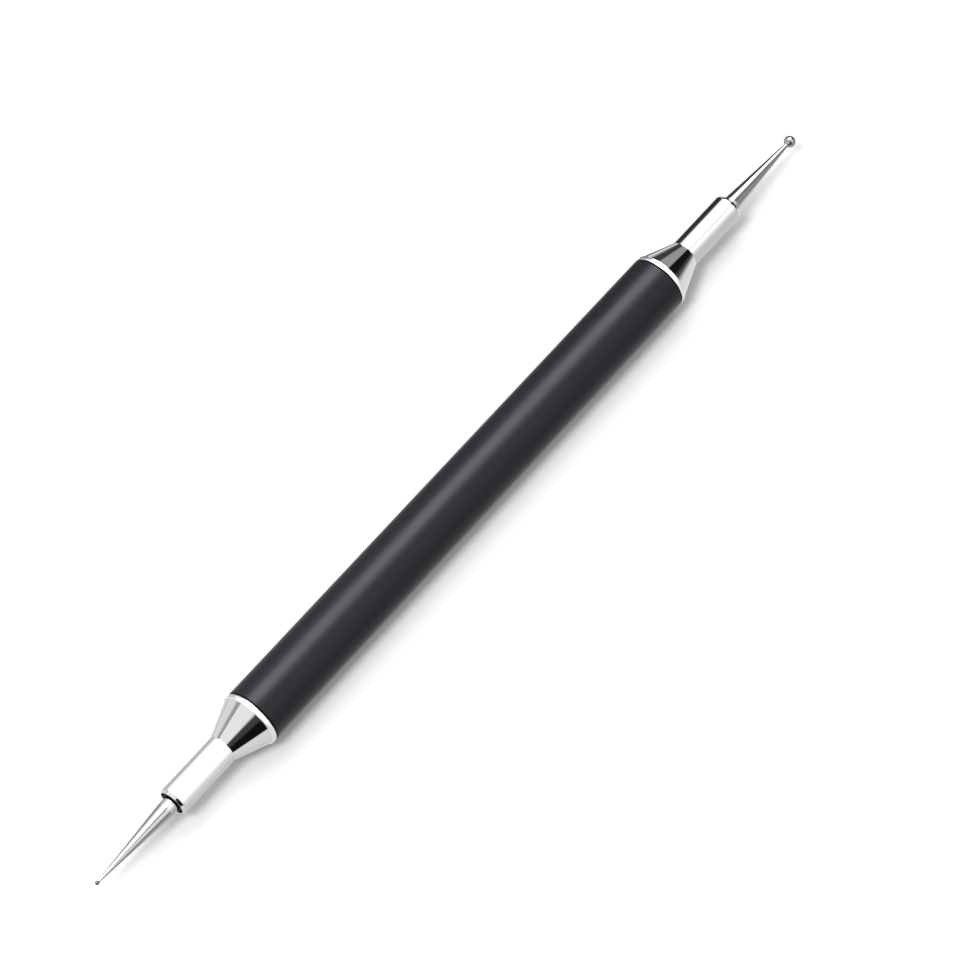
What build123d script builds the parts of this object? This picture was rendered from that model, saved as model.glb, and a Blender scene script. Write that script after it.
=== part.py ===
"""Double-ended embossing stylus.

A black tube carries a bright ferrule at each end, and each ferrule's nose holds a
tapered steel needle that ends in a ball. Lengths are in millimetres. The tool lies
along X with its large ball towards +X, and the origin is the middle of its axis.
"""

import math
import os

from build123d import *

# Barrel: the black tube.
barrel_diameter = 9.0
barrel_length = 90.5
barrel_wall = 0.8
barrel_edge_chamfer = 0.25

# Insert: the lining ring bonded in each end of the barrel.
insert_wall = 1.2
insert_length = 14.0
insert_recess = 0.1
insert_edge_chamfer = 0.3

# Ferrule: spigot, flange, cone and straight nose, turned in one piece. The flange is
# flush with the barrel. The nose ends in a lip that slopes in by its drop over its length.
flange_length = 0.75
flange_edge_fillet = 0.1
cone_ledge = 0.15
cone_length = 5.4
nose_diameter = 4.5
nose_length = 10.65
lip_length = 0.45
lip_drop = 0.2
lip_fillet = 0.06
spigot_length = 11.0
spigot_edge_chamfer = 0.4
mouth_diameter = 3.86
mouth_recess = 1.2

# Shallow rings that hold the adhesive, cut round the spigot and round the insert.
groove_width = 0.8
groove_depth = 0.15
groove_pitch = 3.0
groove_count = 2

# Bush: the ring in the nose's bore that grips the needle's shank.
bush_length = 9.0
bush_edge_chamfer = 0.15

# Stylus: shank, tapered needle and ball, ground in one piece. The ends differ in
# the ball, the neck behind it, the hollow rounding where the two meet, and how far
# the straight shank stands out of the mouth.
shank_diameter = 2.5
shank_tail_length = 4.0
shank_tail_chamfer = 0.3
stylus_reach = 15.6
fine_ball_diameter = 0.6
fine_neck_diameter = 0.36
fine_neck_fillet = 0.1
fine_shank_stand_out = 1.5
large_ball_diameter = 1.8
large_neck_diameter = 0.65
large_neck_fillet = 0.3
large_shank_stand_out = 1.0

# Radial gap of each bonded fit, and how far a cut runs past what it cuts.
bond_gap = 0.02
overrun = 1.0

# Radii that follow from the sizes above.
barrel_radius = barrel_diameter / 2
barrel_bore_radius = barrel_radius - barrel_wall
insert_radius = barrel_bore_radius - bond_gap
insert_bore_radius = insert_radius - insert_wall
spigot_radius = insert_bore_radius - bond_gap
cone_radius = barrel_radius - cone_ledge
nose_radius = nose_diameter / 2
mouth_radius = mouth_diameter / 2
bush_radius = mouth_radius - bond_gap
shank_radius = shank_diameter / 2
bush_bore_radius = shank_radius + bond_gap

# Places along an end's own axis, counted outwards from the barrel's end face.
insert_front = -insert_recess
insert_back = insert_front - insert_length
nose_start = flange_length + cone_length
mouth = nose_start + nose_length
bush_front = mouth - mouth_recess
bush_back = bush_front - bush_length
socket_bottom = bush_back - shank_tail_length
tip = mouth + stylus_reach

# Each end has a plane through the tool's axis that starts at the barrel's end face:
# its local X points outwards and its local Y points up.
end_planes = {
    "fine": Plane(origin=(-barrel_length / 2, 0, 0), x_dir=(-1, 0, 0), z_dir=(0, 1, 0)),
    "ball": Plane(origin=(barrel_length / 2, 0, 0), x_dir=(1, 0, 0), z_dir=(0, -1, 0)),
}


def groove_places(surface_radius, middle):
    """Centres of the adhesive grooves in a cylinder, spaced evenly about its middle."""
    first = middle - groove_pitch * (groove_count - 1) / 2
    return [(first + groove_pitch * i, surface_radius) for i in range(groove_count)]


os.makedirs("parts", exist_ok=True)

# Barrel: a straight tube, open at both ends, with a fine chamfer round each rim.
with BuildPart() as barrel:
    with BuildSketch(Plane.YZ):
        Circle(barrel_radius)
        Circle(barrel_bore_radius, mode=Mode.SUBTRACT)
    extrude(amount=barrel_length / 2, both=True)
    rims = barrel.edges().filter_by(GeomType.CIRCLE).group_by(SortBy.RADIUS)[-1]
    chamfer(rims, barrel_edge_chamfer)
barrel.part.label = "barrel"
export_step(barrel.part, "parts/barrel.step")

# Inserts: each brings the barrel's bore down to the ferrule's spigot.
for end, plane in end_planes.items():
    with BuildPart() as insert:
        with BuildSketch(plane):
            with BuildLine():
                Polyline(
                    (insert_front, insert_bore_radius),
                    (insert_front, insert_radius),
                    (insert_back, insert_radius),
                    (insert_back, insert_bore_radius),
                    close=True,
                )
            make_face()
        revolve(axis=Axis.X)
        rims = insert.edges().filter_by(GeomType.CIRCLE).group_by(SortBy.RADIUS)[-1]
        chamfer(rims, insert_edge_chamfer)
        with BuildSketch(plane):
            with Locations(*groove_places(insert_radius, (insert_front + insert_back) / 2)):
                Rectangle(groove_width, 2 * groove_depth)
        revolve(axis=Axis.X, mode=Mode.SUBTRACT)
    insert.part.label = f"{end}_insert"
    export_step(insert.part, f"parts/{end}_insert.step")

# Ferrules: the flange closes the barrel, and the stepped bore takes bush and shank.
for end, plane in end_planes.items():
    outwards = Axis(plane.origin, plane.x_dir)
    with BuildPart() as ferrule:
        with BuildSketch(plane):
            with BuildLine():
                Polyline(
                    (-spigot_length, 0),
                    (-spigot_length, spigot_radius),
                    (0, spigot_radius),
                    (0, barrel_radius),
                    (flange_length, barrel_radius),
                    (flange_length, cone_radius),
                    (nose_start, nose_radius),
                    (mouth - lip_length, nose_radius),
                    (mouth, nose_radius - lip_drop),
                    (mouth, 0),
                    close=True,
                )
            make_face()
        revolve(axis=Axis.X)
        rims = ferrule.edges().filter_by(GeomType.CIRCLE)
        flange_rim = rims.group_by(SortBy.RADIUS)[-1].sort_by(outwards)[-1]
        fillet(flange_rim, flange_edge_fillet)
        rims = ferrule.edges().filter_by(GeomType.CIRCLE).sort_by(outwards)
        fillet(rims[-1], lip_fillet)
        rims = ferrule.edges().filter_by(GeomType.CIRCLE).sort_by(outwards)
        chamfer(rims[0], spigot_edge_chamfer)
        with BuildSketch(plane):
            with BuildLine():
                Polyline(
                    (mouth + overrun, 0),
                    (mouth + overrun, mouth_radius),
                    (bush_back, mouth_radius),
                    (bush_back, bush_bore_radius),
                    (socket_bottom, bush_bore_radius),
                    (socket_bottom, 0),
                    close=True,
                )
            make_face()
        revolve(axis=Axis.X, mode=Mode.SUBTRACT)
        with BuildSketch(plane):
            with Locations(*groove_places(spigot_radius, -spigot_length / 2)):
                Rectangle(groove_width, 2 * groove_depth)
        revolve(axis=Axis.X, mode=Mode.SUBTRACT)
    ferrule.part.label = f"{end}_ferrule"
    export_step(ferrule.part, f"parts/{end}_ferrule.step")

# Bushes: each fills the nose's bore round the shank, set back from the mouth.
for end, plane in end_planes.items():
    with BuildPart() as bush:
        with BuildSketch(plane):
            with BuildLine():
                Polyline(
                    (bush_back, bush_bore_radius),
                    (bush_back, bush_radius),
                    (bush_front, bush_radius),
                    (bush_front, bush_bore_radius),
                    close=True,
                )
            make_face()
        revolve(axis=Axis.X)
        rims = bush.edges().filter_by(GeomType.CIRCLE).group_by(SortBy.RADIUS)[-1]
        chamfer(rims, bush_edge_chamfer)
    bush.part.label = f"{end}_bush"
    export_step(bush.part, f"parts/{end}_bush.step")

# Styluses: straight shank, straight taper and ball, with the neck rounded into the ball.
for end, ball_diameter, neck_diameter, neck_fillet, shank_stand_out in (
    ("fine", fine_ball_diameter, fine_neck_diameter, fine_neck_fillet, fine_shank_stand_out),
    ("ball", large_ball_diameter, large_neck_diameter, large_neck_fillet, large_shank_stand_out),
):
    plane = end_planes[end]
    ball_radius = ball_diameter / 2
    neck_radius = neck_diameter / 2
    ball_centre = tip - ball_radius
    neck = ball_centre - math.sqrt(ball_radius**2 - neck_radius**2)
    with BuildPart() as stylus:
        with BuildSketch(plane):
            with BuildLine():
                Polyline(
                    (tip, 0),
                    (socket_bottom, 0),
                    (socket_bottom, shank_radius),
                    (mouth + shank_stand_out, shank_radius),
                    (neck, neck_radius),
                )
                ThreePointArc((neck, neck_radius), (ball_centre, ball_radius), (tip, 0))
            make_face()
        revolve(axis=Axis.X)
        rims = stylus.edges().filter_by(GeomType.CIRCLE)
        fillet(rims.sort_by(SortBy.RADIUS)[0], neck_fillet)
        rims = stylus.edges().filter_by(GeomType.CIRCLE)
        chamfer(rims.sort_by(Axis(plane.origin, plane.x_dir))[0], shank_tail_chamfer)
    stylus.part.label = f"{end}_stylus"
    export_step(stylus.part, f"parts/{end}_stylus.step")
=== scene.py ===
"""Looks for the double-ended embossing stylus: a black tube, a chromed ferrule at each
end, and a tapered steel needle with a ball in each ferrule. Everything is in metres in
the part's own frame: +X points to the large ball, the tool lies on a floor below it."""

import math

import bpy
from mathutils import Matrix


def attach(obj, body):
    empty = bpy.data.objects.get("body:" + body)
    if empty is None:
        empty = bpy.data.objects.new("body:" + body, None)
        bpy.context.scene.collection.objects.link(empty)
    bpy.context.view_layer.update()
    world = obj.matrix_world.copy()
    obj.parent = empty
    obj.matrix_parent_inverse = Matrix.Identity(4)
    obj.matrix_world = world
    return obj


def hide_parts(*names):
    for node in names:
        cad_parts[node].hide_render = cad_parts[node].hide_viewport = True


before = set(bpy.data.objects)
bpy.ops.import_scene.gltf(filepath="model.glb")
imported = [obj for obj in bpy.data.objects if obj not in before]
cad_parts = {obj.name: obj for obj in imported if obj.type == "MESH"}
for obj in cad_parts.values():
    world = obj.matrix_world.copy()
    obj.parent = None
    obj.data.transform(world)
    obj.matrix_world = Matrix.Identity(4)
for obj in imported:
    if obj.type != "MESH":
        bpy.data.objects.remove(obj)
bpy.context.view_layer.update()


# Barrel. The real piece is a drawn aluminium tube, cut to length, its rims chamfered,
# blasted fine and anodised black. The inserts are bonded inside its two ends, and the
# ferrules' flanges close it.
MM = 0.001
barrel_length = 90.5 * MM
barrel_radius = 4.5 * MM
barrel_bore_radius = 3.7 * MM
barrel_chamfer = 0.25 * MM
barrel_edge_rounding = 0.04 * MM
barrel_facets = 192
shaded_rim_width = 0.3 * MM
anodised_black = "#12121B"
painted_rim_shade = "#040405"
shaded_rim_roughness = 0.95
grain_size = 0.22 * MM
grain_depth = 0.01 * MM
handling_size = 9 * MM


def linear(colour):
    """An sRGB hex colour as the linear RGBA that the shaders take."""
    shares = [int(colour[i : i + 2], 16) / 255 for i in (1, 3, 5)]
    return tuple(
        c / 12.92 if c <= 0.04045 else ((c + 0.055) / 1.055) ** 2.4 for c in shares
    ) + (1.0,)


def add(tree, kind, inputs=None, **settings):
    """Adds one node. Each input takes a value, or the output of another node."""
    node = tree.nodes.new(kind)
    for name, value in settings.items():
        setattr(node, name, value)
    for name, value in (inputs or {}).items():
        socket = node.inputs[name]
        if isinstance(value, bpy.types.Node):
            value = value.outputs[0]
        if isinstance(value, bpy.types.NodeSocket):
            tree.links.new(value, socket)
        else:
            socket.default_value = value
    return node


def turning(title, stations, ring):
    """A Geometry Nodes tree that turns a profile round the X axis, as a lathe does.

    Every station is a corner of the profile with a named input of its own: its place
    along the axis, its radius, and how widely the corner is rounded. A ring's profile
    closes on itself; any other profile starts and ends on the axis."""
    tree = bpy.data.node_groups.new(title, "GeometryNodeTree")
    sockets = [(station, "NodeSocketVector") for station in stations]
    sockets += [
        ("Facets round", "NodeSocketInt"),
        ("Start on axis", "NodeSocketFloat"),
        ("Heading", "NodeSocketFloat"),
        ("Finish", "NodeSocketMaterial"),
    ]
    for name, kind in sockets:
        tree.interface.new_socket(name, in_out="INPUT", socket_type=kind)
    tree.interface.new_socket("Piece", in_out="OUTPUT", socket_type="NodeSocketGeometry")
    given = add(tree, "NodeGroupInput").outputs

    # The profile: one point for each station, in order, with the radius along X and
    # the place along Y, because the sweep below lays a profile down that way.
    station = add(tree, "GeometryNodeIndexSwitch", data_type="VECTOR")
    while len(station.index_switch_items) < len(stations):
        station.index_switch_items.new()
    tree.links.new(add(tree, "GeometryNodeInputIndex").outputs[0], station.inputs["Index"])
    for i, name in enumerate(stations):
        tree.links.new(given[name], station.inputs[i + 1])
    size = add(tree, "ShaderNodeSeparateXYZ", {"Vector": station})
    sweep_radius = 1 * MM
    off_sweep = add(
        tree, "ShaderNodeMath", {0: size.outputs["Y"], 1: sweep_radius}, operation="SUBTRACT"
    )
    place = add(tree, "ShaderNodeCombineXYZ", {"X": off_sweep, "Y": size.outputs["X"]})
    points = add(
        tree, "GeometryNodePoints", {"Count": len(stations), "Position": place}
    )
    profile = add(tree, "GeometryNodePointsToCurves", {"Points": points})
    profile = add(tree, "GeometryNodeSetSplineCyclic", {"Geometry": profile, "Cyclic": ring})

    # The corners are rounded in more steps where the rounding is wide, as on a ball.
    steps = add(
        tree,
        "ShaderNodeMapRange",
        {"Value": size.outputs["Z"], "From Max": 1 * MM, "To Min": 5, "To Max": 30},
    )
    profile = add(
        tree,
        "GeometryNodeFilletCurve",
        {"Curve": profile, "Count": steps, "Radius": size.outputs["Z"]},
        mode="POLY",
    )

    # The sweep goes round Z, is closed where it meets the axis, and is then laid on X.
    circle = add(
        tree,
        "GeometryNodeCurvePrimitiveCircle",
        {"Resolution": given["Facets round"], "Radius": sweep_radius},
    )
    body = add(tree, "GeometryNodeCurveToMesh", {"Curve": circle, "Profile Curve": profile})
    body = add(tree, "GeometryNodeMergeByDistance", {"Geometry": body, "Distance": 0.001 * MM})
    body = add(
        tree, "GeometryNodeTransform", {"Geometry": body, "Rotation": (0, -math.pi / 2, 0)}
    )
    start = add(tree, "ShaderNodeCombineXYZ", {"X": given["Start on axis"]})
    heading = add(tree, "ShaderNodeCombineXYZ", {"Z": given["Heading"]})
    body = add(
        tree,
        "GeometryNodeTransform",
        {"Geometry": body, "Translation": start, "Rotation": heading},
    )
    body = add(tree, "GeometryNodeSetShadeSmooth", {"Geometry": body})
    body = add(tree, "GeometryNodeRealizeInstances", {"Geometry": body})
    body = add(tree, "GeometryNodeSetMaterial", {"Geometry": body, "Material": given["Finish"]})
    add(tree, "NodeGroupOutput", {"Piece": body})
    return tree


def turn(name, tree, stations, facets, start, heading, finish):
    """Runs a turning tree with one piece's sizes and gives its plain mesh object.

    Weighted normals keep the straight runs straight beside the small roundings, which
    mirror chrome would otherwise show as a bent reflection."""
    mould = bpy.data.objects.new(name + "_turning", bpy.data.meshes.new(name))
    bpy.context.scene.collection.objects.link(mould)
    lathe = mould.modifiers.new("Lathe", "NODES")
    lathe.node_group = tree
    given = dict(stations)
    given.update(
        {"Facets round": facets, "Start on axis": start, "Heading": heading, "Finish": finish}
    )
    for item in tree.interface.items_tree:
        if item.in_out == "INPUT":
            lathe[item.identifier] = given[item.name]
    normals = mould.modifiers.new("Even shading", "WEIGHTED_NORMAL")
    normals.weight = 80
    normals.keep_sharp = False
    bpy.context.view_layer.update()
    made = mould.evaluated_get(bpy.context.evaluated_depsgraph_get())
    mesh = bpy.data.meshes.new_from_object(made)
    mesh.name = name
    bpy.data.objects.remove(mould)
    piece = bpy.data.objects.new(name, mesh)
    bpy.context.scene.collection.objects.link(piece)
    return piece


# Black anodised aluminium, fine blasted: the dyed oxide gives a deep, slightly blue
# black with a soft satin sheen, and the blast a grain that just breaks the highlight.
# The real grain is about 0.05 mm, and is drawn coarser so that it shows. The rims'
# chamfers are painted near-black and dull, as painted shade in the notch against the flanges.
black_anodising = bpy.data.materials.new("satin_black_anodised_aluminium")
black_anodising.use_nodes = True
nodes = black_anodising.node_tree
shader = nodes.nodes["Principled BSDF"]
spot = add(nodes, "ShaderNodeTexCoord").outputs["Object"]
grain = add(
    nodes, "ShaderNodeTexNoise", {"Vector": spot, "Scale": 1 / grain_size, "Detail": 2.0}
)
handling = add(
    nodes,
    "ShaderNodeTexNoise",
    {"Vector": spot, "Scale": 1 / handling_size, "Detail": 4.0, "Roughness": 0.6},
)
dye = add(
    nodes,
    "ShaderNodeMapRange",
    {"Value": handling, "From Min": 0.3, "From Max": 0.7, "To Min": 0.8, "To Max": 1.2},
)
tint = add(
    nodes,
    "ShaderNodeMix",
    {"Factor": 1.0, "A": linear(anodised_black), "B": dye},
    data_type="RGBA",
    blend_type="MULTIPLY",
)
place = add(nodes, "ShaderNodeSeparateXYZ", {"Vector": spot}).outputs["X"]
from_middle = add(nodes, "ShaderNodeMath", {0: place}, operation="ABSOLUTE")
# Painted shade: near-black, dull rims where the barrel meets the flanges.
on_shaded_rim = add(
    nodes,
    "ShaderNodeMapRange",
    {
        "Value": from_middle,
        "From Min": barrel_length / 2 - 1.1 * shaded_rim_width,
        "From Max": barrel_length / 2 - 0.9 * shaded_rim_width,
    },
)
blacks = add(
    nodes,
    "ShaderNodeMix",
    {"Factor": on_shaded_rim, "A": tint.outputs["Result"], "B": linear(painted_rim_shade)},
    data_type="RGBA",
)
nodes.links.new(blacks.outputs["Result"], shader.inputs["Base Color"])
gloss = add(
    nodes,
    "ShaderNodeMapRange",
    {"Value": handling, "From Min": 0.3, "From Max": 0.7, "To Min": 0.32, "To Max": 0.38},
)
gloss = add(
    nodes,
    "ShaderNodeMix",
    {"Factor": on_shaded_rim, "A": gloss, "B": shaded_rim_roughness},
    data_type="FLOAT",
)
nodes.links.new(gloss.outputs[0], shader.inputs["Roughness"])
relief = add(
    nodes, "ShaderNodeBump", {"Height": grain, "Strength": 0.25, "Distance": grain_depth}
)
nodes.links.new(relief.outputs[0], shader.inputs["Normal"])
shader.inputs["Specular IOR Level"].default_value = 0.25

tube_stations = {
    "Near rim, outer": (-barrel_length / 2, barrel_radius - barrel_chamfer, barrel_edge_rounding),
    "Near chamfer": (-barrel_length / 2 + barrel_chamfer, barrel_radius, barrel_edge_rounding),
    "Far chamfer": (barrel_length / 2 - barrel_chamfer, barrel_radius, barrel_edge_rounding),
    "Far rim, outer": (barrel_length / 2, barrel_radius - barrel_chamfer, barrel_edge_rounding),
    "Far rim, bore": (barrel_length / 2, barrel_bore_radius, barrel_edge_rounding),
    "Near rim, bore": (-barrel_length / 2, barrel_bore_radius, barrel_edge_rounding),
}
barrel = turn(
    "barrel_tube",
    turning("turned_tube", list(tube_stations), True),
    tube_stations,
    barrel_facets,
    0.0,
    0.0,
    black_anodising,
)
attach(barrel, "root")
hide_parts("barrel")


# Ferrules. Each is turned from brass in one piece, spigot, flange, cone and straight
# nose, then polished and chromed. Its spigot is bonded in the insert, its flange sits
# flush on the barrel's end, and its stepped bore takes the bush and the needle's shank.
flange_length = 0.75 * MM
flange_rounding = 0.1 * MM
cone_ledge = 0.15 * MM
cone_length = 5.4 * MM
nose_radius = 2.25 * MM
nose_length = 10.65 * MM
lip_length = 0.45 * MM
lip_drop = 0.2 * MM
lip_rounding = 0.06 * MM
spigot_radius = 2.46 * MM
spigot_length = 11.0 * MM
spigot_chamfer = 0.4 * MM
mouth_radius = 1.93 * MM
bush_front = 15.6 * MM
bush_back = 6.6 * MM
socket_bottom = 2.6 * MM
socket_radius = 1.27 * MM
groove_width = 0.8 * MM
groove_depth = 0.15 * MM
groove_middles = (-7.0 * MM, -4.0 * MM)
small_rounding = 0.03 * MM
cone_foot_rounding = 0.04 * MM
nose_start_rounding = 0.05 * MM
lip_start_rounding = 0.5 * MM
ferrule_facets = 192
satin_depth = 0.1 * MM
satin_roughness = 0.26
polishing_pitch = 0.12 * MM
polishing_depth = 0.0015 * MM
smudge_size = 3 * MM
bright_chrome = "#D6D7D9"
satin_rim_highlight = "#F2F3F4"

nose_start = flange_length + cone_length
mouth = nose_start + nose_length

# Bright chrome plate over polished brass: a near-mirror, a shade bluish, with very
# faint rings left by polishing in the lathe and a trace of handling in the gloss. The
# flange's rim is only fine turned before plating, so it is satin, and its colour is set
# paler than the chrome's, as a painted highlight that keeps it white all round.
chrome_plate = bpy.data.materials.new("bright_chrome_plated_brass")
chrome_plate.use_nodes = True
nodes = chrome_plate.node_tree
shader = nodes.nodes["Principled BSDF"]
shader.inputs["Metallic"].default_value = 1.0
spot = add(nodes, "ShaderNodeTexCoord").outputs["Object"]
across = add(nodes, "ShaderNodeVectorMath", {0: spot, 1: (0.0, 1.0, 1.0)}, operation="MULTIPLY")
off_axis = add(nodes, "ShaderNodeVectorMath", {0: across}, operation="LENGTH")
on_rim = add(
    nodes,
    "ShaderNodeMapRange",
    {
        "Value": off_axis.outputs["Value"],
        "From Min": barrel_radius - 1.2 * satin_depth,
        "From Max": barrel_radius - 0.8 * satin_depth,
    },
)
# Painted highlight: the flange's rim takes a paler colour than the chrome.
plating = add(
    nodes,
    "ShaderNodeMix",
    {"Factor": on_rim, "A": linear(bright_chrome), "B": linear(satin_rim_highlight)},
    data_type="RGBA",
)
nodes.links.new(plating.outputs["Result"], shader.inputs["Base Color"])
along = add(nodes, "ShaderNodeMapping", {"Vector": spot, "Scale": (1.0, 0.02, 0.02)})
rings = add(
    nodes, "ShaderNodeTexNoise", {"Vector": along, "Scale": 1 / polishing_pitch, "Detail": 2.0}
)
smudge = add(
    nodes, "ShaderNodeTexNoise", {"Vector": spot, "Scale": 1 / smudge_size, "Detail": 3.0}
)
gloss = add(
    nodes,
    "ShaderNodeMapRange",
    {"Value": smudge, "From Min": 0.35, "From Max": 0.7, "To Min": 0.03, "To Max": 0.07},
)
gloss = add(
    nodes,
    "ShaderNodeMix",
    {"Factor": on_rim, "A": gloss, "B": satin_roughness},
    data_type="FLOAT",
)
nodes.links.new(gloss.outputs[0], shader.inputs["Roughness"])
relief = add(
    nodes, "ShaderNodeBump", {"Height": rings, "Strength": 0.12, "Distance": polishing_depth}
)
nodes.links.new(relief.outputs[0], shader.inputs["Normal"])

ferrule_stations = {
    "Spigot centre": (-spigot_length, 0.0, 0.0),
    "Spigot chamfer, end": (-spigot_length, spigot_radius - spigot_chamfer, small_rounding),
    "Spigot chamfer, side": (-spigot_length + spigot_chamfer, spigot_radius, small_rounding),
}
for number, middle in enumerate(groove_middles, 1):
    for side, place in (("back", middle - groove_width / 2), ("front", middle + groove_width / 2)):
        rim = (place, spigot_radius, small_rounding)
        floor_corner = (place, spigot_radius - groove_depth, small_rounding)
        pair = (rim, floor_corner) if side == "back" else (floor_corner, rim)
        for depth, corner in zip(("first", "second"), pair):
            ferrule_stations[f"Groove {number}, {side}, {depth}"] = corner
ferrule_stations.update(
    {
        "Flange back, inner": (0.0, spigot_radius, small_rounding),
        "Flange back, outer": (0.0, barrel_radius, small_rounding),
        "Flange front": (flange_length, barrel_radius, flange_rounding),
        "Cone foot": (flange_length, barrel_radius - cone_ledge, cone_foot_rounding),
        "Nose start": (nose_start, nose_radius, nose_start_rounding),
        "Lip start": (mouth - lip_length, nose_radius, lip_start_rounding),
        "Lip, outer": (mouth, nose_radius - lip_drop, lip_rounding),
        "Lip, inner": (mouth, mouth_radius, small_rounding),
        "Bush seat": (bush_back, mouth_radius, small_rounding),
        "Socket mouth": (bush_back, socket_radius, small_rounding),
        "Socket bottom": (socket_bottom, socket_radius, small_rounding),
        "Socket centre": (socket_bottom, 0.0, 0.0),
    }
)
ferrule_tree = turning("turned_ferrule", list(ferrule_stations), False)
ends = {
    "fine": {"start": -barrel_length / 2, "heading": math.pi},
    "ball": {"start": barrel_length / 2, "heading": 0.0},
}
for end, set_up in ends.items():
    ferrule = turn(
        end + "_chromed_ferrule",
        ferrule_tree,
        ferrule_stations,
        ferrule_facets,
        set_up["start"],
        set_up["heading"],
        chrome_plate,
    )
    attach(ferrule, "root")
    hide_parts(end + "_ferrule")


# Needles. Each is hardened steel, ground in one piece: a straight shank bonded in the
# bush and socket, a long straight taper, and a ball polished for the paper to slide on.
# The two ends differ in the ball, the neck behind it and where the taper starts.
shank_radius = 1.25 * MM
tail_chamfer = 0.3 * MM
reach = 15.6 * MM
taper_start_rounding = 10 * MM
needle_facets = 128
ground_steel = "#B4B4B7"
large_ball_shaded_steel = "#98989B"
fine_ball_shaded_steel = "#6C6C6F"
fine_ball_roughness = 0.4
fine_ball_begins = 77.0 * MM
large_ball_begins = 75.8 * MM
grinding_pitch = 0.1 * MM
grinding_depth = 0.002 * MM
tip = mouth + reach
needle_sizes = {
    "fine": {"ball": 0.3 * MM, "neck": 0.18 * MM, "hollow": 0.1 * MM, "stand_out": 1.5 * MM},
    "ball": {"ball": 0.9 * MM, "neck": 0.325 * MM, "hollow": 0.3 * MM, "stand_out": 1.0 * MM},
}

# Ground and polished steel: darker than chrome, a narrow soft mirror, with the fine
# rings of the grinding wheel drawn coarser because the real ones are too fine to see.
# The balls take darker steel colours, the fine one darker still and rougher, as painted
# shade for the darker reflections they show. They are told from the tapers by their place
# along the tool.
needle_steel = bpy.data.materials.new("ground_and_polished_steel")
needle_steel.use_nodes = True
nodes = needle_steel.node_tree
shader = nodes.nodes["Principled BSDF"]
shader.inputs["Metallic"].default_value = 1.0
spot = add(nodes, "ShaderNodeTexCoord").outputs["Object"]
place = add(nodes, "ShaderNodeSeparateXYZ", {"Vector": spot}).outputs["X"]
on_fine_ball = add(
    nodes,
    "ShaderNodeMapRange",
    {
        "Value": place,
        "From Min": 0.1 * MM - fine_ball_begins,
        "From Max": -0.1 * MM - fine_ball_begins,
    },
)
on_large_ball = add(
    nodes,
    "ShaderNodeMapRange",
    {
        "Value": place,
        "From Min": large_ball_begins - 0.2 * MM,
        "From Max": large_ball_begins + 0.2 * MM,
    },
)
# Painted shade: darker steel on the balls stands in for their darker reflections.
steel = add(
    nodes,
    "ShaderNodeMix",
    {"Factor": on_large_ball, "A": linear(ground_steel), "B": linear(large_ball_shaded_steel)},
    data_type="RGBA",
)
steel = add(
    nodes,
    "ShaderNodeMix",
    {"Factor": on_fine_ball, "A": steel.outputs["Result"], "B": linear(fine_ball_shaded_steel)},
    data_type="RGBA",
)
nodes.links.new(steel.outputs["Result"], shader.inputs["Base Color"])
along = add(nodes, "ShaderNodeMapping", {"Vector": spot, "Scale": (1.0, 0.03, 0.03)})
rings = add(
    nodes, "ShaderNodeTexNoise", {"Vector": along, "Scale": 1 / grinding_pitch, "Detail": 3.0}
)
gloss = add(
    nodes,
    "ShaderNodeMapRange",
    {"Value": rings, "From Min": 0.3, "From Max": 0.7, "To Min": 0.08, "To Max": 0.15},
)
gloss = add(
    nodes,
    "ShaderNodeMix",
    {"Factor": on_fine_ball, "A": gloss, "B": fine_ball_roughness},
    data_type="FLOAT",
)
nodes.links.new(gloss.outputs[0], shader.inputs["Roughness"])
relief = add(
    nodes, "ShaderNodeBump", {"Height": rings, "Strength": 0.2, "Distance": grinding_depth}
)
nodes.links.new(relief.outputs[0], shader.inputs["Normal"])

for end, size in needle_sizes.items():
    ball, hollow = size["ball"], size["hollow"]
    ball_centre = tip - ball
    neck = ball_centre - math.sqrt(ball**2 - size["neck"] ** 2)
    shank_end = mouth + size["stand_out"]
    slope = math.atan2(shank_radius - size["neck"], neck - shank_end)

    # The hollow behind the ball touches both the taper and the ball. "meets" is the
    # angle, back from the axis, at which it runs into the ball.
    on_taper = size["neck"] - math.tan(slope) * (ball_centre - neck)
    meets = slope + math.asin((hollow + on_taper * math.cos(slope)) / (ball + hollow))
    touch = (ball_centre - ball * math.cos(meets), ball * math.sin(meets))
    turned = math.pi / 2 + slope - meets
    run = hollow * math.tan(turned / 2)
    corner = (touch[0] - run * math.sin(meets), touch[1] - run * math.cos(meets))
    needle_stations = {
        "Tail centre": (socket_bottom, 0.0, 0.0),
        "Tail chamfer, end": (socket_bottom, shank_radius - tail_chamfer, small_rounding),
        "Tail chamfer, side": (socket_bottom + tail_chamfer, shank_radius, small_rounding),
        "Taper start": (shank_end, shank_radius, taper_start_rounding),
        "Neck": (*corner, hollow),
    }
    # The ball is three equal bends from where the hollow runs in to the tip, each one a
    # corner outside the ball, rounded to the ball's own radius.
    bend = (math.pi - meets) / 3
    for number in range(3):
        angle = math.pi - meets - bend * (number + 0.5)
        out = ball / math.cos(bend / 2)
        needle_stations[f"Ball, bend {number + 1}"] = (
            ball_centre + out * math.cos(angle),
            out * math.sin(angle),
            ball,
        )
    needle_stations["Tip"] = (tip, 0.0, 0.0)
    needle = turn(
        end + "_ground_needle",
        turning(end + "_needle", list(needle_stations), False),
        needle_stations,
        needle_facets,
        ends[end]["start"],
        ends[end]["heading"],
        needle_steel,
    )
    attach(needle, "root")
    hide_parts(end + "_stylus")


# Inserts and bushes. Rings turned from brass and left as cut, because they are hidden:
# the inserts line the barrel's ends round the spigots, the bushes sit in the noses.
# Their solids are right as they are, so they only take the metal's finish.
turned_brass = "#C9A35A"
painted_recess_shade = "#5E5E62"
recess_shade_depth = 0.16 * MM
feed_pitch = 0.15 * MM
feed_depth = 0.01 * MM
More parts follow.
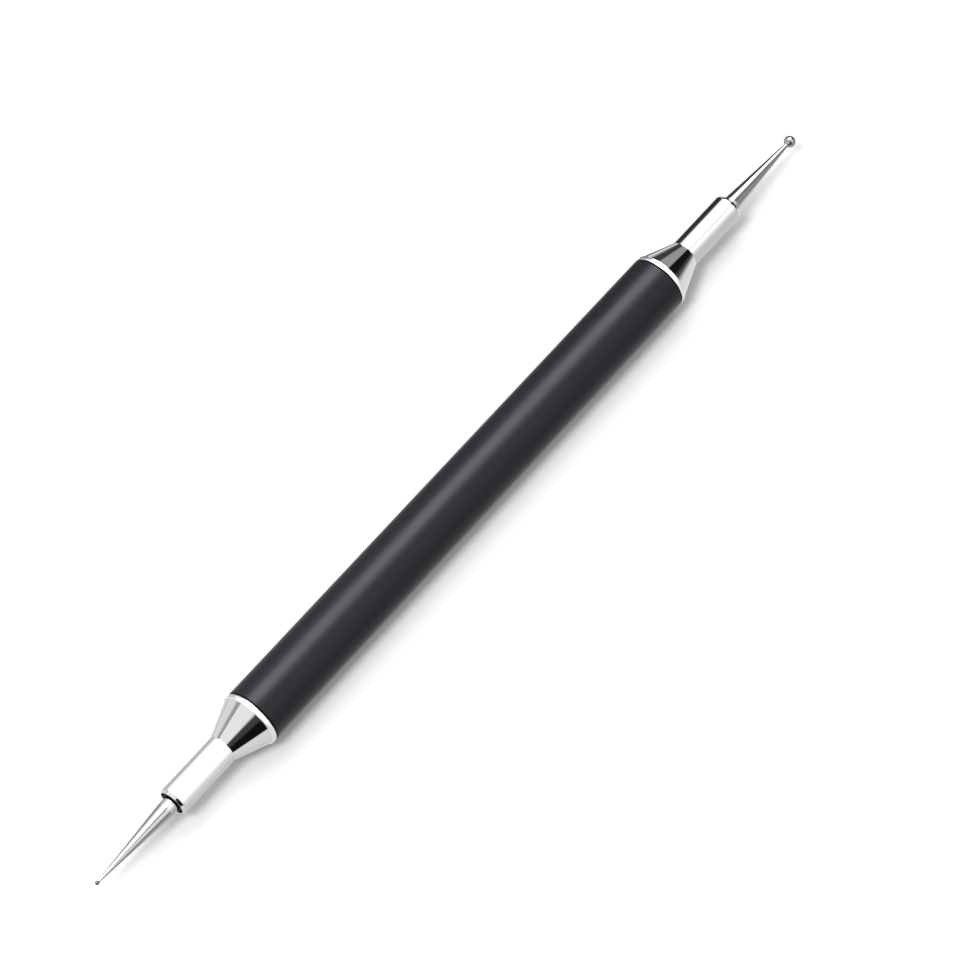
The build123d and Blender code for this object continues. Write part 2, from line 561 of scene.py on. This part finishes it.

# Turned brass: warm yellow, half bright, with the tool's feed marks running round. The
# bush's front, down in the mouth, is a flat grey that is not metallic, as painted shade that sets
# how dark the recess looks.
cut_brass = bpy.data.materials.new("turned_brass_as_cut")
cut_brass.use_nodes = True
nodes = cut_brass.node_tree
shader = nodes.nodes["Principled BSDF"]
spot = add(nodes, "ShaderNodeTexCoord").outputs["Object"]
place = add(nodes, "ShaderNodeSeparateXYZ", {"Vector": spot}).outputs["X"]
from_middle = add(nodes, "ShaderNodeMath", {0: place}, operation="ABSOLUTE")
front = barrel_length / 2 + bush_front
on_front = add(
    nodes,
    "ShaderNodeMapRange",
    {
        "Value": from_middle,
        "From Min": front - recess_shade_depth - 0.01 * MM,
        "From Max": front - recess_shade_depth + 0.01 * MM,
    },
)
# Painted shade: the bush's front, in the mouth's recess, is flat grey and not metallic.
brass = add(
    nodes,
    "ShaderNodeMix",
    {"Factor": on_front, "A": linear(turned_brass), "B": linear(painted_recess_shade)},
    data_type="RGBA",
)
nodes.links.new(brass.outputs["Result"], shader.inputs["Base Color"])
metal = add(nodes, "ShaderNodeMath", {0: 1.0, 1: on_front}, operation="SUBTRACT")
nodes.links.new(metal.outputs[0], shader.inputs["Metallic"])
feed = add(
    nodes,
    "ShaderNodeTexWave",
    {"Vector": spot, "Scale": 1 / feed_pitch / 2, "Distortion": 0.6, "Detail": 1.0},
    wave_type="BANDS",
    bands_direction="X",
)
gloss = add(
    nodes, "ShaderNodeMapRange", {"Value": feed.outputs["Fac"], "To Min": 0.24, "To Max": 0.36}
)
nodes.links.new(gloss.outputs[0], shader.inputs["Roughness"])
relief = add(
    nodes,
    "ShaderNodeBump",
    {"Height": feed.outputs["Fac"], "Strength": 0.4, "Distance": feed_depth},
)
nodes.links.new(relief.outputs[0], shader.inputs["Normal"])
for node_name in ("fine_insert", "ball_insert", "fine_bush", "ball_bush"):
    for material_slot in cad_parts[node_name].material_slots:
        material_slot.material = cut_brass


# Floor. White board under the tool, which lies on its barrel. Seen by the camera it is
# a fifth brighter than its light, as in an overexposed product picture, and it keeps
# the tool's soft shadow. Mirrors see the studio all round in its place.
floor_half_width = 1.2
floor_z = -barrel_radius
floor_lit = 0.8
floor_seen = 1.217
floor_mesh = bpy.data.meshes.new("white_floor")
floor_mesh.from_pydata(
    [
        (x * floor_half_width, y * floor_half_width, floor_z)
        for x, y in ((-1, -1), (1, -1), (1, 1), (-1, 1))
    ],
    [],
    [(0, 1, 2, 3)],
)
floor = bpy.data.objects.new("white_floor", floor_mesh)
bpy.context.scene.collection.objects.link(floor)
floor.visible_glossy = False
white_board = bpy.data.materials.new("white_board")
white_board.use_nodes = True
nodes = white_board.node_tree
nodes.nodes.clear()
path = add(nodes, "ShaderNodeLightPath").outputs
level = add(
    nodes,
    "ShaderNodeMapRange",
    {"Value": path["Is Camera Ray"], "To Min": floor_lit, "To Max": floor_seen},
)
board = add(nodes, "ShaderNodeBsdfDiffuse", {"Color": level})
add(nodes, "ShaderNodeOutputMaterial", {"Surface": board})
floor_mesh.materials.append(white_board)


# Studio light. An overhead lamp above the near end gives the close shadow beside the
# barrel, and a weaker one on the +Y side, under the long softbox, widens it.
def softbox(name, azimuth, elevation, distance, width, share):
    """A square lamp aimed at the tool; share is how much of a white floor's light it gives."""
    a, e = math.radians(azimuth), math.radians(elevation)
    towards = (math.cos(a) * math.cos(e), math.sin(a) * math.cos(e), math.sin(e))
    lamp = bpy.data.lights.new(name, "AREA")
    lamp.shape = "SQUARE"
    lamp.size = width
    # Power that makes a white floor under the lamp as bright as "share" of white.
    lamp.energy = share * math.pi**2 * distance**2 / math.sin(e)
    holder = bpy.data.objects.new(name, lamp)
    holder.location = [distance * t for t in towards]
    holder.rotation_euler = (math.pi / 2 - e, 0, a + math.pi / 2)
    bpy.context.scene.collection.objects.link(holder)
    return holder


overhead = softbox("overhead_lamp", 180, 62, 2.0, 0.5, 0.28)
long_softbox = softbox("long_softbox", 46, 64, 2.0, 0.8, 0.12)
for lamp in (overhead, long_softbox):
    lamp.visible_glossy = False

world = bpy.data.worlds.new("studio")
bpy.context.scene.world = world
world.use_nodes = True
world.cycles.sampling_method = "NONE"
nodes = world.node_tree
nodes.nodes.clear()
path = add(nodes, "ShaderNodeLightPath").outputs
way = add(
    nodes,
    "ShaderNodeSeparateXYZ",
    {"Vector": add(nodes, "ShaderNodeTexCoord").outputs["Generated"]},
).outputs
azimuth = add(nodes, "ShaderNodeMath", {0: way["Y"], 1: way["X"]}, operation="ARCTAN2")
azimuth = add(nodes, "ShaderNodeMath", {0: azimuth}, operation="DEGREES")
elevation = add(nodes, "ShaderNodeMath", {0: way["Z"]}, operation="ARCSINE")
elevation = add(nodes, "ShaderNodeMath", {0: elevation}, operation="DEGREES")
roll = add(nodes, "ShaderNodeMath", {0: way["Y"], 1: way["Z"]}, operation="ARCTAN2")
roll = add(nodes, "ShaderNodeMath", {0: roll}, operation="DEGREES")
lean = add(nodes, "ShaderNodeMath", {0: way["X"]}, operation="ARCSINE")
lean = add(nodes, "ShaderNodeMath", {0: lean}, operation="DEGREES")

# What mirrors see: white overhead, dimmer board below, a long softbox over the tool on
# the +Y side, and dark things round the horizon. Each patch lies between two angles of
# one kind and two of another, in degrees, with soft edges. Azimuth counts from +X
# towards +Y; roll goes round the tool from straight up towards +Y, and lean towards +X.
patches = (
    # name, angle, from and to, edge, angle, from and to, edge, brightness
    ("long softbox", roll, (1, 41), 16, lean, (-8, 48), 10, 7.6),
    ("ceiling over the barrel", roll, (-50, 0), 20, lean, (12, 50), 6, 2.1),
    ("pale wall behind the near end", azimuth, (114, 222), 6, elevation, (30, 100), 8, 1.13),
    ("pale wall, low part", azimuth, (86, 108), 8, elevation, (-2, 24), 8, 0.97),
    ("joint between wall and ceiling", azimuth, (105, 114), 4, elevation, (12, 42), 14, 0.45),
    ("dark camera stand", azimuth, (-144, -100), 4, elevation, (-5, 56), 6, 0.008),
    ("grey head of the stand", azimuth, (-152, -118), 10, elevation, (34, 58), 10, 0.065),
    ("stand, past the far end", azimuth, (-166, -134), 8, elevation, (-16, 10), 8, 0.03),
    ("dim board towards the near side", azimuth, (67, 76), 6, elevation, (-80, 2), 16, 0.66),
    ("dark wall on the far side", azimuth, (50, 67), 5, elevation, (-36, 24), 20, 0.04),
    ("dark wall beyond the far end", azimuth, (-28, 50), 8, elevation, (-12, 22), 22, 0.06),
    ("foot of that wall", azimuth, (-44, -20), 6, elevation, (-5, 14), 26, 0.06),
    ("grey panel beyond the far end", azimuth, (-1, 27), 5, elevation, (12, 30), 6, 0.42),
    ("black panel beyond the far end", azimuth, (-24, -1), 5, elevation, (9, 42), 8, 0.01),
    ("shaded floor under the nose", roll, (-200, -120), 60, lean, (13, 28), 4, 0.73),
    ("shaded floor under the cone", roll, (150, 235), 50, lean, (-40, 0), 8, 0.86),
    ("dim shelf by the far nose", roll, (-140, -61), 78, lean, (24, 28), 2, 0.75),
    ("seam in the ceiling, far", roll, (-34, -14), 12, lean, (24, 28), 2, 1.28),
    ("gap beside the softbox, near", roll, (-26, -2), 10, lean, (0, 14), 2, 0.65),
    ("dark shelf on the near side", roll, (-112, -72), 18, lean, (0, 14), 2, 0.40),
    ("shaded floor, near", roll, (-180, -112), 18, lean, (0, 14), 2, 0.75),
    ("ceiling beside the softbox, far", roll, (-60, -8), 18, lean, (28, 38), 2, 0.30),
    ("dark shelf on the far side", roll, (-120, -60), 24, lean, (28, 38), 2, 0.44),
    ("foot of the dark wall", roll, (50, 160), 8, lean, (28, 38), 2, 0.12),
    ("dim wall on the far side, near", roll, (70, 122), 24, lean, (0, 14), 2, 0.55),
)
seen = add(
    nodes,
    "ShaderNodeMapRange",
    {"Value": elevation, "From Min": -4, "From Max": 26, "To Min": 0.97, "To Max": 1.5},
    interpolation_type="SMOOTHSTEP",
)
for name, angle, between, edge, other_angle, other_between, other_edge, brightness in patches:
    # Turned so that the patch's middle is at zero, and measured outwards from there.
    inside = []
    for value, (low, high), soft in (
        (angle, between, edge),
        (other_angle, other_between, other_edge),
    ):
        away = add(nodes, "ShaderNodeMath", {0: value, 1: (low + high) / 2}, operation="SUBTRACT")
        away = add(nodes, "ShaderNodeMath", {0: away, 1: 180, 2: -180}, operation="WRAP")
        away = add(nodes, "ShaderNodeMath", {0: away}, operation="ABSOLUTE")
        half = (high - low) / 2
        inside.append(
            add(
                nodes,
                "ShaderNodeMapRange",
                {
                    "Value": away,
                    "From Min": half - soft / 2,
                    "From Max": half + soft / 2,
                    "To Min": 1.0,
                    "To Max": 0.0,
                },
                interpolation_type="SMOOTHSTEP",
            )
        )
    cover = add(nodes, "ShaderNodeMath", {0: inside[0], 1: inside[1]}, operation="MULTIPLY")
    seen = add(
        nodes,
        "ShaderNodeMix",
        {"Factor": cover, "A": seen, "B": brightness},
        data_type="FLOAT",
        label=name,
    )

# The floor is lit by a soft fill from all of the sky, a little stronger from the
# softbox's side and from beyond the near end. A mirror throws back at the floor less
# than that, and next to nothing from below, where the floor lies in the tool's own shadow.
soft_fill = 0.6
from_softbox_side = 0.3
from_near_end = 0.3
thrown_from_above = 0.4
thrown_from_below = 0.05
fill = add(
    nodes,
    "ShaderNodeMath",
    {0: way["Y"], 1: soft_fill * from_softbox_side, 2: soft_fill},
    operation="MULTIPLY_ADD",
)
fill = add(
    nodes,
    "ShaderNodeMath",
    {0: way["X"], 1: -soft_fill * from_near_end, 2: fill},
    operation="MULTIPLY_ADD",
)
thrown = add(
    nodes,
    "ShaderNodeMapRange",
    {
        "Value": way["Z"],
        "From Min": -0.01,
        "From Max": 0.01,
        "To Min": thrown_from_below,
        "To Max": thrown_from_above,
    },
)
fill = add(
    nodes,
    "ShaderNodeMix",
    {"Factor": path["Is Glossy Ray"], "A": fill, "B": thrown},
    data_type="FLOAT",
)

# Only a mirror that is seen directly shows the patches: a ray that has already left a
# matt surface takes the fill instead, so that the patches don't mark the floor.
first_look = add(
    nodes,
    "ShaderNodeMath",
    {0: 1.0, 1: path["Diffuse Depth"]},
    operation="SUBTRACT",
    use_clamp=True,
)
first_look = add(
    nodes, "ShaderNodeMath", {0: first_look, 1: path["Is Glossy Ray"]}, operation="MULTIPLY"
)
lit = add(
    nodes, "ShaderNodeMix", {"Factor": first_look, "A": fill, "B": seen}, data_type="FLOAT"
)
lit = add(
    nodes,
    "ShaderNodeMix",
    {"Factor": path["Is Camera Ray"], "A": lit, "B": 1.0},
    data_type="FLOAT",
)
background = add(nodes, "ShaderNodeBackground", {"Color": lit, "Strength": 1.0})
add(nodes, "ShaderNodeOutputWorld", {"Surface": background})


# Camera. It stands above the near end on the -Y side, as in the reference picture, and
# looks at a point close to the middle of the barrel.
camera_azimuth = -50.66
camera_elevation = 61.44
camera_distance = 632.0 * MM
camera_aim = (3.53 * MM, -0.70 * MM, 0.0)
focal_length_in_pixels = 4450
picture_width_in_pixels = 960
a, e = math.radians(camera_azimuth), math.radians(camera_elevation)
back = (math.sin(a) * math.cos(e), -math.cos(a) * math.cos(e), math.sin(e))
lens = bpy.data.cameras.new("camera")
lens.sensor_width = 36.0
lens.lens = focal_length_in_pixels / picture_width_in_pixels * lens.sensor_width
lens.clip_start = 0.01
camera = bpy.data.objects.new("camera", lens)
camera.location = [aim + camera_distance * b for aim, b in zip(camera_aim, back)]
camera.rotation_euler = (math.pi / 2 - e, 0.0, a)
bpy.context.scene.collection.objects.link(camera)
bpy.context.scene.camera = camera
bpy.context.scene.view_settings.view_transform = "Standard"
